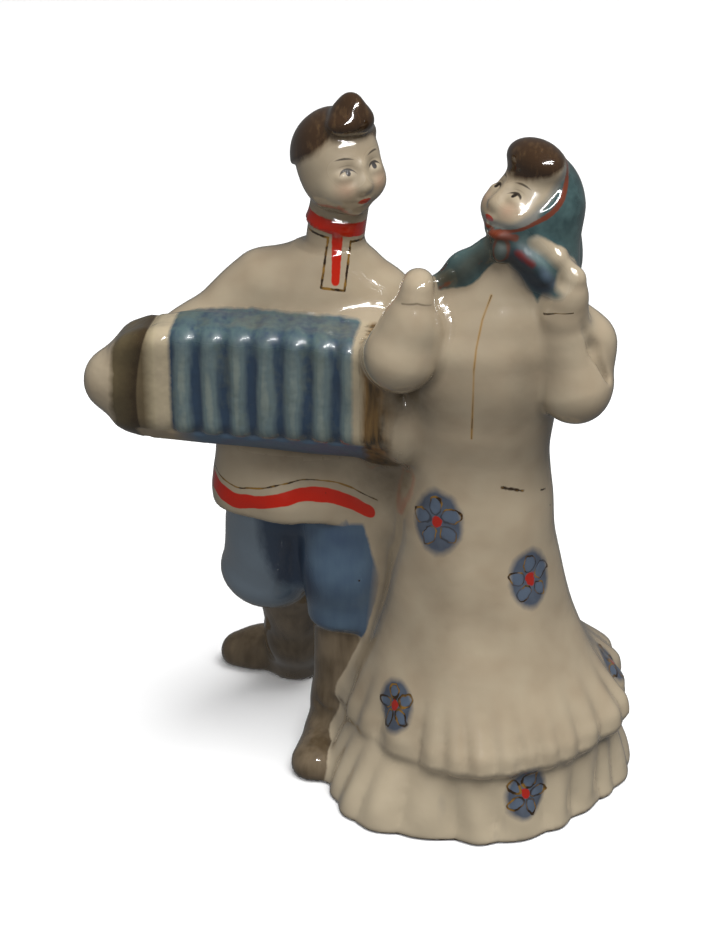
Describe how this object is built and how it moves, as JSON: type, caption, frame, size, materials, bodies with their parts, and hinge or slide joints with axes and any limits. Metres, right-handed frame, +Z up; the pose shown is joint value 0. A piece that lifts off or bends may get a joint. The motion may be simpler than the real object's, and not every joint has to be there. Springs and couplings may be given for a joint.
{
  "type": "dancing figurine group",
  "caption": "Glazed porcelain folk figurine group: an accordion player and a dancing partner in a headscarf and long flounced skirt, cast as one piece on a level base.",
  "frame": {"origin": "level underside, below the middle of the bounding box", "axes": "+Z up; the front that is meant to be looked at faces -Y; the accordion player stands on the -X side and the partner on the +X side"},
  "size_m": [0.1192, 0.0816, 0.1539],
  "materials": {
    "glazed_porcelain": "glossy clear glaze over white porcelain with hand-painted colour"
  },
  "bodies": {
    "root": {"figurine_group": "glazed_porcelain"}
  },
  "joints": []
}
